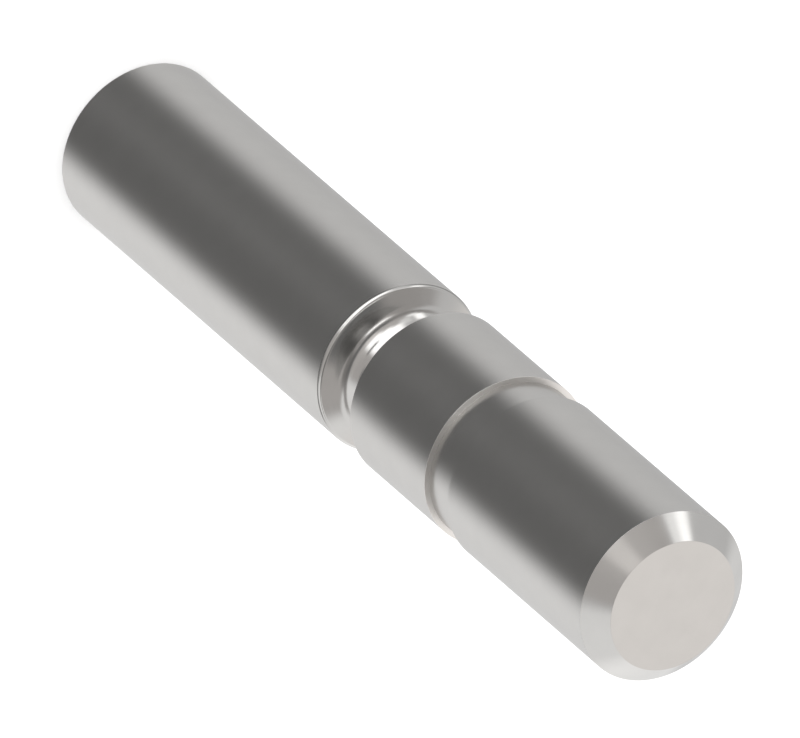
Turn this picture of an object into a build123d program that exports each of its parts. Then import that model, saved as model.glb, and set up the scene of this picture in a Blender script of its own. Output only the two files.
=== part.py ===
from build123d import *
import math
import os

# Actuator pin: one turned and ground steel piece.
# It stands on its plain end. The origin is the centre of that end and +Z runs along the axis to the tip.
# Lengths are in mm and follow the axis from the plain end.

# Driving dimensions
pin_d = 8.0            # ground diameter, the same on the shank, the collar and the tip
shank_len = 22.27      # plain end to the corner of the shoulder
neck_groove_w = 2.74   # corner of the shoulder to the square face of the collar
neck_depth = 1.5       # how far the neck lies below the ground diameter
shoulder_slant = 23.5  # degrees that the shoulder leans away from square
collar_len = 6.36      # land between the two grooves
ring_groove_w = 1.95   # width of the shallow groove, whose walls are square
ring_depth = 0.25      # how far its floor lies below the ground diameter
tip_len = 12.15        # shallow groove to the end face, with the chamfer
tip_chamfer = 0.95     # 45 degree chamfer round the end face
rim_round = 0.25       # rounded rim of the shoulder
neck_round = 1.25      # both fillets of the neck, which nearly meet on its floor
ring_fillet = 0.02     # tool radius in the corners of the shallow groove
end_break = 0.05       # broken edge of the plain end

# Radii
pin_r = pin_d / 2
neck_r = pin_r - neck_depth
ring_r = pin_r - ring_depth

# Places along the axis
shoulder_z = shank_len
shoulder_foot_z = shoulder_z + neck_depth * math.tan(math.radians(shoulder_slant))
collar_z = shoulder_z + neck_groove_w
ring_z = collar_z + collar_len
tip_z = ring_z + ring_groove_w
end_z = tip_z + tip_len

# The neck's fillets fit between the shoulder and the collar, and within the neck's depth
neck_floor_w = collar_z - shoulder_foot_z
full_round = neck_floor_w / (1 + math.tan(math.radians(45 - shoulder_slant / 2)))
neck_fillet = min(neck_round, 0.995 * full_round, 0.95 * neck_depth)


# The whole pin is one half outline, turned about the axis
with BuildPart() as actuator_pin:
    with BuildSketch(Plane.XZ) as outline:
        with BuildLine():
            Polyline(
                (0, 0),
                (pin_r - end_break, 0),
                (pin_r, end_break),
                (pin_r, shoulder_z),
                (neck_r, shoulder_foot_z),
                (neck_r, collar_z),
                (pin_r, collar_z),
                (pin_r, ring_z),
                (ring_r, ring_z),
                (ring_r, tip_z),
                (pin_r, tip_z),
                (pin_r, end_z - tip_chamfer),
                (pin_r - tip_chamfer, end_z),
                (0, end_z),
                close=True,
            )
        make_face()
        ring_corners = outline.vertices().filter_by_position(Axis.X, ring_r, ring_r)
        fillet(ring_corners, radius=ring_fillet)
        rim = outline.vertices().sort_by_distance((pin_r, shoulder_z))[0]
        fillet(rim, radius=rim_round)
        shoulder_foot = outline.vertices().sort_by_distance((neck_r, shoulder_foot_z))[0]
        fillet(shoulder_foot, radius=neck_fillet)
        collar_foot = outline.vertices().sort_by_distance((neck_r, collar_z))[0]
        fillet(collar_foot, radius=neck_fillet)
    revolve(axis=Axis.Z)

os.makedirs("parts", exist_ok=True)
actuator_pin.part.label = "actuator_pin"
export_step(actuator_pin.part, "parts/actuator_pin.step")
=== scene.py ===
import math
from collections import namedtuple

import bpy
import numpy as np
from mathutils import Matrix, Vector


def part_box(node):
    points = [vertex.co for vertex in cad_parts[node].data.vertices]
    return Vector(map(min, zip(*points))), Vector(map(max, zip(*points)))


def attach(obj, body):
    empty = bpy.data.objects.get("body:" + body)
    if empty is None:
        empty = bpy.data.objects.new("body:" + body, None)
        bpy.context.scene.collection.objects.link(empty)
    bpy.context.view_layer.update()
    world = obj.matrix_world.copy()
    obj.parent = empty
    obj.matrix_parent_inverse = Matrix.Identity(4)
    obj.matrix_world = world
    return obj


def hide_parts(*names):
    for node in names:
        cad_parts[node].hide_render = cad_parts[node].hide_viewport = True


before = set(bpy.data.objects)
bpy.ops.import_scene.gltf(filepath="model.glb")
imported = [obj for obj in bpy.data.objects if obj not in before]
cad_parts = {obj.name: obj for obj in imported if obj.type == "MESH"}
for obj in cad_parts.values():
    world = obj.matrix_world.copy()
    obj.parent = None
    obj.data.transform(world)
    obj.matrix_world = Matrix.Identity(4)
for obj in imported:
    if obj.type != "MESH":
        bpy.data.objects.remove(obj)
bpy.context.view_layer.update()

MM = 0.001
MICRON = 1e-6

# Sizes of the pin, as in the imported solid. Places are measured along the axis from the plain end
END_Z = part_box("actuator_pin")[1][2]
PIN_R = 4.0 * MM
SHOULDER_Z = 22.27 * MM
SHOULDER_SLANT = math.radians(23.5)
NECK_R = 2.5 * MM
COLLAR_Z = 25.01 * MM
RING_Z = 31.37 * MM
RING_R = 3.75 * MM
TIP_Z = 33.32 * MM
TIP_CHAMFER = 0.95 * MM
RIM_ROUND = 0.25 * MM
NECK_ROUND = 1.25 * MM

# Small roundings of the mesh alone. The solid has a chamfer at the plain end and a wider fillet at the
# shallow groove's floor, and it leaves the other edges sharp
FOOT_ROUND = 0.05 * MM
RING_FILLET = 0.004 * MM
EDGE_ROUND = 0.012 * MM

# Fineness of the mesh
AROUND = 384
LONG_STEP = 1.5 * MM
ARC_STEP = math.radians(3.0)
SMALL_ROUND = 0.1 * MM
SMALL_ROUND_STEPS = 3
NEARLY_ZERO = 1e-9

# Regions of the surface, as places in the pin's list of materials
GROUND, TURNED, FACED, CUT = 0, 1, 2, 3

# The map for the bake lays the side out as one sheet and the two ends as discs beside it
Disc = namedtuple("Disc", "x y scale")
SHEET_MARGIN = 0.01
SHEET_WIDTH = 0.79
SHEET_HEIGHT = 0.98
DISC_R = 0.085
FOOT_DISC = Disc(0.905, 0.10, DISC_R / PIN_R)
TIP_DISC = Disc(0.905, 0.29, DISC_R / (PIN_R - TIP_CHAMFER))

# Steel, with its noise scales per metre
STEEL = (0.608, 0.598, 0.583)
# A much lighter steel colour for the shallow groove's walls: a painted reflection that brightens the band
# their reflections make
PAINTED_REFLECTION_STEEL = (0.90, 0.885, 0.863)
GRAZING_TINT = (0.76, 0.76, 0.76, 1.0)
CLOUD_SCALE = 900.0
CLOUD_SPREAD = 0.015
MARKS_ACROSS = 900.0
MARKS_ALONG = 60000.0
NOISE_LOW = 0.3
NOISE_HIGH = 0.7

# Floor
FLOOR_HALF = 3.0
PAPER = (0.9, 0.9, 0.9, 1.0)
PAPER_ROUGHNESS = 0.9

# Light
BASE_LIGHT = (0.72, 0.72, 0.72)
FLOOR_LIGHT = (1.6, 1.6, 1.6)
PLAIN = (1.0, 1.0, 1.0)
WARM = (1.035, 1.0, 0.975)
ROOF_UP = 0.937
ROOF_BACK = 0.35
LEAST_FLAT = 0.0001

# Camera. The pin's axis lies 41.4 degrees off the line of sight and slopes across the picture
TOWARD_CAMERA = (0.0, -0.6614, 0.75)
PICTURE_RIGHT = (-0.6547, 0.5669, 0.5)
FRAME_WIDTH = 34.31 * MM
AIM_Z = 22.155 * MM
AIM_SHIFT_RIGHT = 0.1 * MM
AIM_SHIFT_DOWN = 0.06 * MM
LENS = 1560.0
SENSOR = 36.0
CLIP_START = 0.1
CLIP_END = 10.0

Row = namedtuple("Row", "r z normal_r normal_z region")


def unit(vector):
    return vector / np.linalg.norm(vector)


def outline_rows():
    """The half outline from the centre of the plain end to the centre of the tip. A row's region is that of
    the stretch that starts there."""
    foot_z = SHOULDER_Z + (PIN_R - NECK_R) * math.tan(SHOULDER_SLANT)
    # Each corner's place and rounding, and the region of that rounding and of the straight run after it
    corners = [
        ((0.0, 0.0), 0.0, FACED),
        ((PIN_R, 0.0), FOOT_ROUND, GROUND),
        ((PIN_R, SHOULDER_Z), RIM_ROUND, TURNED),
        ((NECK_R, foot_z), NECK_ROUND, TURNED),
        ((NECK_R, COLLAR_Z), NECK_ROUND, TURNED),
        ((PIN_R, COLLAR_Z), EDGE_ROUND, GROUND),
        ((PIN_R, RING_Z), EDGE_ROUND, CUT),
        ((RING_R, RING_Z), RING_FILLET, GROUND),
        ((RING_R, TIP_Z), RING_FILLET, CUT),
        ((PIN_R, TIP_Z), EDGE_ROUND, GROUND),
        ((PIN_R, END_Z - TIP_CHAMFER), EDGE_ROUND, TURNED),
        ((PIN_R - TIP_CHAMFER, END_Z), EDGE_ROUND, FACED),
        ((0.0, END_Z), 0.0, FACED),
    ]
    places = [np.array(place) for place, _, _ in corners]
    rows = []
    start = places[0]
    for i in range(1, len(corners)):
        here = places[i]
        _, radius, region = corners[i]
        run = unit(here - places[i - 1])
        normal = np.array([run[1], -run[0]])
        turn = reach = 0.0
        if radius:
            onward = unit(places[i + 1] - here)
            turn = math.acos(float(np.clip(run @ onward, -1.0, 1.0)))
            reach = radius * math.tan(turn / 2)
        stop = here - run * reach
        count = max(1, math.ceil(np.linalg.norm(stop - start) / LONG_STEP))
        for j in range(count):
            rows.append(Row(*(start + (stop - start) * j / count), *normal, corners[i - 1][2]))
        if radius:
            side = 1.0 if run[0] * onward[1] - run[1] * onward[0] > 0 else -1.0
            centre = stop - normal * side * radius
            steps = SMALL_ROUND_STEPS if radius < SMALL_ROUND else math.ceil(turn / ARC_STEP)
            for j in range(steps):
                spin = side * turn * j / steps
                c, s = math.cos(spin), math.sin(spin)
                bent = np.array([c * normal[0] - s * normal[1], s * normal[0] + c * normal[1]])
                rows.append(Row(*(centre + bent * side * radius), *bent, region))
            start = here + onward * reach
    rows.append(Row(*places[-1], *normal, region))
    return rows


def end_disc(a, b):
    """The disc of the map that holds the strip between two rows, or None where it lies on the sheet."""
    if max(a.z, b.z) < NEARLY_ZERO:
        return FOOT_DISC
    if min(a.z, b.z) > END_Z - NEARLY_ZERO:
        return TIP_DISC
    return None


def spoke(k):
    """The direction of the k-th spoke round the axis."""
    a = 2 * math.pi * k / AROUND
    return math.cos(a), math.sin(a)


def turned_mesh(name):
    """The outline turned about the axis, with the exact normals of the turned surface and the bake's map."""
    rows = outline_rows()
    strips = list(zip(rows, rows[1:]))
    steps = [0.0] + [0.0 if end_disc(a, b) else math.hypot(b.r - a.r, b.z - a.z) for a, b in strips]
    along = np.cumsum(steps) / sum(steps)
    verts = []
    normals = []
    first = []
    for row in rows:
        first.append(len(verts))
        if row.r < NEARLY_ZERO:
            verts.append((0.0, 0.0, row.z))
            normals.append((0.0, 0.0, math.copysign(1.0, row.normal_z)))
        else:
            for k in range(AROUND):
                c, s = spoke(k)
                verts.append((row.r * c, row.r * s, row.z))
                normals.append((row.normal_r * c, row.normal_r * s, row.normal_z))

    def vertex(i, k):
        return first[i] if rows[i].r < NEARLY_ZERO else first[i] + k % AROUND

    def map_place(i, k, disc):
        if disc is None:
            return SHEET_MARGIN + SHEET_WIDTH * k / AROUND, SHEET_MARGIN + SHEET_HEIGHT * along[i]
        c, s = spoke(k)
        return disc.x + disc.scale * rows[i].r * c, disc.y + disc.scale * rows[i].r * s

    faces = []
    regions = []
    map_places = []
    for i, (a, b) in enumerate(strips):
        disc = end_disc(a, b)
        for k in range(AROUND):
            corners = [(i, k), (i, k + 1), (i + 1, k + 1), (i + 1, k)]
            if a.r < NEARLY_ZERO:
                corners.remove((i, k + 1))
            elif b.r < NEARLY_ZERO:
                corners.remove((i + 1, k + 1))
            faces.append([vertex(*corner) for corner in corners])
            map_places += [map_place(*corner, disc) for corner in corners]
            regions.append(a.region)
    mesh = bpy.data.meshes.new(name)
    mesh.from_pydata(verts, [], faces)
    mesh.polygons.foreach_set("material_index", regions)
    mesh.polygons.foreach_set("use_smooth", [True] * len(faces))
    sheet = mesh.uv_layers.new(name="OFBake")
    sheet.data.foreach_set("uv", np.array(map_places).ravel())
    mesh.update()
    mesh.normals_split_custom_set_from_vertices(normals)
    return mesh


def add_object(name, data):
    piece = bpy.data.objects.new(name, data)
    bpy.context.scene.collection.objects.link(piece)
    return piece


class Nodes:
    """Adds shader nodes to one node tree."""

    def __init__(self, tree):
        self.tree = tree
        tree.nodes.clear()

    def add(self, kind, *inputs, **settings):
        """A new node. Its first inputs are sockets, to be linked, or values."""
        node = self.tree.nodes.new(kind)
        for key, value in settings.items():
            setattr(node, key, value)
        for socket, value in zip(node.inputs, inputs):
            self.feed(socket, value)
        return node

    def feed(self, socket, value):
        if isinstance(value, bpy.types.NodeSocket):
            self.tree.links.new(value, socket)
        else:
            socket.default_value = value

    def math(self, operation, *inputs):
        return self.add("ShaderNodeMath", *inputs, operation=operation).outputs[0]

    def mix(self, factor, a, b):
        """A mix of two colours, each a socket or (r, g, b)."""
        node = self.add("ShaderNodeMix", data_type="RGBA")
        self.feed(node.inputs["Factor"], factor)
        for name, value in (("A", a), ("B", b)):
            self.feed(node.inputs[name], value if isinstance(value, bpy.types.NodeSocket) else (*value, 1.0))
        return node.outputs["Result"]

    def noise(self, vector, scale, detail):
        node = self.add("ShaderNodeTexNoise")
        self.feed(node.inputs["Vector"], vector)
        self.feed(node.inputs["Scale"], scale)
        self.feed(node.inputs["Detail"], detail)
        self.feed(node.inputs["Roughness"], 0.5)
        return node.outputs["Fac"]

    def stretch(self, vector, x, y, z):
        return self.add("ShaderNodeVectorMath", vector, (x, y, z), operation="MULTIPLY").outputs[0]

    def ramp(self, value, low, high, to_low, to_high, smooth=False):
        node = self.add("ShaderNodeMapRange", value, low, high, to_low, to_high)
        node.interpolation_type = "SMOOTHSTEP" if smooth else "LINEAR"
        return node.outputs[0]


def steel(name, colour, rough, rough_spread, marks):
    """Bare steel: a faint cloudiness, fine grinding or turning marks that run round the axis, and roughness
    that varies with them. The marks' depth is in metres."""
    material = bpy.data.materials.new(name)
    material.use_nodes = True
    n = Nodes(material.node_tree)
    place = n.add("ShaderNodeTexCoord").outputs["Object"]
    cloud = n.ramp(n.noise(place, CLOUD_SCALE, detail=4.0), NOISE_LOW, NOISE_HIGH, 0.0, 1.0)
    stretched = n.stretch(place, MARKS_ACROSS, MARKS_ACROSS, MARKS_ALONG)
    lines = n.noise(stretched, scale=1.0, detail=2.0)
    dull = [c * (1 - CLOUD_SPREAD) for c in colour]
    bright = [c * (1 + CLOUD_SPREAD) for c in colour]
    roughness = n.ramp(lines, NOISE_LOW, NOISE_HIGH, rough - rough_spread, rough + rough_spread)
    bump = n.add("ShaderNodeBump")
    n.feed(bump.inputs["Strength"], 1.0)
    n.feed(bump.inputs["Distance"], marks)
    n.feed(bump.inputs["Height"], lines)
    shader = n.add("ShaderNodeBsdfPrincipled")
    n.feed(shader.inputs["Base Color"], n.mix(cloud, dull, bright))
    n.feed(shader.inputs["Metallic"], 1.0)
    n.feed(shader.inputs["Specular Tint"], GRAZING_TINT)
    n.feed(shader.inputs["Roughness"], roughness)
    n.feed(shader.inputs["Normal"], bump.outputs["Normal"])
    out = n.add("ShaderNodeOutputMaterial")
    n.feed(out.inputs["Surface"], shader.outputs[0])
    return material


# The pin and its finishes, in the order of the regions: name, colour, roughness, its spread, marks' depth
FINISHES = [
    ("steel_ground", STEEL, 0.28, 0.006, 0.002 * MICRON),
    ("steel_turned", STEEL, 0.15, 0.015, 0.004 * MICRON),
    ("steel_faced", STEEL, 0.16, 0.02, 0.01 * MICRON),
    # The cut finish on the shallow groove's walls has the lighter colour: a painted reflection standing in
    # for their bright reflected band
    ("steel_cut_painted_reflection", PAINTED_REFLECTION_STEEL, 0.32, 0.01, 0.002 * MICRON),
]
pin = add_object("turned_pin", turned_mesh("turned_pin"))
for finish in FINISHES:
    pin.data.materials.append(steel(*finish))
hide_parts("actuator_pin")
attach(pin, "root")

# A floor of white paper
floor_mesh = bpy.data.meshes.new("floor")
floor_corners = [(x * FLOOR_HALF, y * FLOOR_HALF, 0) for x, y in ((-1, -1), (1, -1), (1, 1), (-1, 1))]
floor_mesh.from_pydata(floor_corners, [], [(0, 1, 2, 3)])
floor = add_object("floor", floor_mesh)
floor.visible_glossy = False
paper = bpy.data.materials.new("floor_paper")
paper.use_nodes = True
paper_shader = paper.node_tree.nodes["Principled BSDF"]
paper_shader.inputs["Base Color"].default_value = PAPER
paper_shader.inputs["Roughness"].default_value = PAPER_ROUGHNESS
paper_shader.inputs["Specular IOR Level"].default_value = 0.0
floor.data.materials.append(paper)

# The studio: soft light panels and dark cards round the pin, as the steel sees them
world = bpy.data.worlds.new("studio")
bpy.context.scene.world = world
world.use_nodes = True
w = Nodes(world.node_tree)
direction = w.add("ShaderNodeTexCoord").outputs["Generated"]
east, north, height = w.add("ShaderNodeSeparateXYZ", direction).outputs
flat = w.math("SQRT", w.math("SUBTRACT", 1.0, w.math("MULTIPLY", height, height)))
flat = w.math("MAXIMUM", flat, LEAST_FLAT)

# The height along the axis of the roof's rings, which leans back by about 20 degrees
leaning = w.math("ADD", w.math("MULTIPLY", height, ROOF_UP), w.math("MULTIPLY", north, ROOF_BACK))


def soft_step(value, at, edge, before, after):
    """Goes from before to after where value passes at, over a soft edge."""
    return w.ramp(value, at - edge / 2, at + edge / 2, before, after, smooth=True)


def panel(under, level, tint, across, heights, edges, measure):
    """Lays a panel of one brightness over what is there.

    across is its azimuth from the front (-Y) towards +X, its half width and its soft edge, in degrees.
    heights is where it begins and ends on the measure, which runs from -1 to 1, and edges is how soft those
    two ends are."""
    azimuth, half_width, edge = across
    a = math.radians(azimuth)
    along = w.math("ADD", w.math("MULTIPLY", east, math.sin(a)), w.math("MULTIPLY", north, -math.cos(a)))
    facing = w.math("DIVIDE", along, flat)
    outer = math.cos(math.radians(min(180.0, half_width + edge / 2)))
    inner = math.cos(math.radians(max(0.0, half_width - edge / 2)))
    mask = w.ramp(facing, outer, inner, 0.0, 1.0, smooth=True)
    rise = soft_step(measure, heights[0], edges[0], 0.0, 1.0)
    fall = soft_step(measure, heights[1], edges[1], 1.0, 0.0)
    mask = w.math("MULTIPLY", mask, w.math("MULTIPLY", rise, fall))
    return w.mix(mask, under, [level * t for t in tint])


# Each panel covers those before it: brightness, tint, across, heights, edges, measure
PANELS = [
    # Walls, floor and lights round the pin
    (1.03, PLAIN, (124.5, 56.0, 16.0), (-0.6, 1.1), (0.2, 0.1), height),  # right wall
    (1.13, PLAIN, (120.0, 60.0, 24.0), (-1.1, -0.6), (0.1, 0.2), height),  # floor to the right
    (0.80, PLAIN, (-120.0, 60.0, 24.0), (-1.1, -0.6), (0.1, 0.2), height),  # floor to the left
    (1.06, PLAIN, (-165.0, 20.0, 16.0), (-0.6, 0.3), (0.1, 0.2), height),  # low light behind, left
    (1.30, PLAIN, (155.0, 22.0, 24.0), (-0.6, 0.3), (0.1, 0.2), height),  # low light behind, right
    (0.42, WARM, (60.0, 180.0, 1.0), (0.68, 1.2), (0.12, 0.1), height),  # ceiling
    (0.53, WARM, (105.0, 40.0, 20.0), (0.72, 0.93), (0.1, 0.03), height),  # ceiling to the right
    (1.00, WARM, (180.0, 34.0, 20.0), (0.3, 0.88), (0.2, 0.06), height),  # high light behind
    (0.56, WARM, (-5.0, 65.0, 14.0), (0.35, 1.1), (0.1, 0.1), height),  # upper front
    (0.52, WARM, (35.0, 26.0, 12.0), (-0.3, 0.42), (0.1, 0.1), height),  # front, right
    (0.96, PLAIN, (-65.0, 7.0, 10.0), (0.15, 0.45), (0.1, 0.12), height),  # front, left
    (0.63, WARM, (-14.0, 30.0, 36.0), (0.2, 0.8), (0.1, 0.06), height),  # glow round the strip
    (0.90, WARM, (-7.0, 10.0, 20.0), (0.2, 0.8), (0.1, 0.06), height),  # strip above the front panel
    # Dark and light rings of the roof
    (0.38, WARM, (0.0, 115.0, 20.0), (0.435, 0.585), (0.05, 0.06), leaning),  # dark ring, wide
    (0.30, WARM, (-78.0, 20.0, 24.0), (0.52, 0.62), (0.05, 0.05), leaning),  # dark ring, left end
    (0.25, WARM, (58.0, 26.0, 30.0), (0.50, 0.75), (0.05, 0.05), leaning),  # dark ring, right end
    (0.17, PLAIN, (8.0, 60.0, 30.0), (0.435, 0.585), (0.05, 0.04), leaning),  # dark ring, front
    (0.34, WARM, (0.0, 22.0, 20.0), (0.63, 0.69), (0.04, 0.04), leaning),  # light ring, right
    (2.40, PLAIN, (-33.0, 22.0, 26.0), (0.655, 0.71), (0.03, 0.03), leaning),  # light ring, left
    (0.12, PLAIN, (0.0, 40.0, 30.0), (0.735, 0.79), (0.02, 0.03), leaning),  # thin dark ring
    # Low dark cards, which give the back and the sides their bands
    (0.27, PLAIN, (76.0, 36.0, 24.0), (-0.42, -0.05), (0.12, 0.1), height),  # low on the right
    (0.25, PLAIN, (-108.0, 26.0, 24.0), (-0.42, -0.17), (0.12, 0.1), height),  # low on the left
    (0.26, PLAIN, (181.0, 13.0, 16.0), (-0.34, 0.10), (0.1, 0.1), height),  # behind
    # Front panel and left soft box
    (1.90, PLAIN, (-24.0, 32.0, 16.0), (-0.25, 0.30), (0.15, 0.12), height),  # front panel
    (1.90, PLAIN, (-23.0, 17.0, 14.0), (0.20, 0.43), (0.06, 0.05), height),  # its middle part
    (1.90, PLAIN, (-8.0, 15.0, 16.0), (0.20, 0.55), (0.06, 0.05), height),  # its upper part
    (0.0, PLAIN, (2.0, 12.0, 9.0), (0.155, 0.265), (0.02, 0.02), height),  # gap in the front panel
    (1.85, PLAIN, (-89.0, 5.0, 10.0), (0.14, 0.46), (0.1, 0.06), height),  # left soft box
    (1.40, PLAIN, (-81.0, 5.0, 12.0), (0.44, 0.54), (0.06, 0.06), height),  # its upper part
    # Zenith and floor
    (0.19, PLAIN, (0.0, 180.0, 1.0), (0.945, 1.2), (0.05, 0.1), height),  # dark zenith
    (0.86, PLAIN, (180.0, 11.0, 14.0), (-1.2, -0.55), (0.1, 0.1), height),  # floor behind
    (0.15, PLAIN, (3.5, 71.0, 38.0), (-1.2, -0.40), (0.1, 0.15), height),  # dark front floor
    (0.50, PLAIN, (180.0, 108.0, 20.0), (-1.2, -0.88), (0.1, 0.05), height),  # low floor round the foot
    (0.17, PLAIN, (0.0, 180.0, 1.0), (-1.2, -0.96), (0.1, 0.05), height),  # floor straight below
    (0.80, PLAIN, (-9.0, 12.0, 30.0), (-0.965, -0.875), (0.05, 0.04), height),  # glow low in front
]
light = BASE_LIGHT
for settings in PANELS:
    light = panel(light, *settings)

# Only the steel sees the panels. The floor and the camera get one even light
path = w.add("ShaderNodeLightPath")
seen = w.mix(path.outputs["Is Glossy Ray"], FLOOR_LIGHT, light)
background = w.add("ShaderNodeBackground", seen, 1.0)
world_out = w.add("ShaderNodeOutputWorld")
w.feed(world_out.inputs["Surface"], background.outputs[0])
world.cycles.sampling_method = "NONE"
bpy.context.scene.view_settings.view_transform = "Standard"

# Camera
toward = Vector(TOWARD_CAMERA).normalized()
right = Vector(PICTURE_RIGHT)
right = (right - toward * right.dot(toward)).normalized()
up = toward.cross(right)
aim = Vector((0.0, 0.0, AIM_Z)) + right * AIM_SHIFT_RIGHT - up * AIM_SHIFT_DOWN
cam_data = bpy.data.cameras.new("camera")
cam_data.lens = LENS
cam_data.sensor_width = SENSOR
cam_data.clip_start = CLIP_START
cam_data.clip_end = CLIP_END
camera = add_object("camera", cam_data)
turn = Matrix((right, up, toward)).transposed()
distance = FRAME_WIDTH * LENS / SENSOR
camera.matrix_world = Matrix.Translation(aim + toward * distance) @ turn.to_4x4()
bpy.context.scene.camera = camera
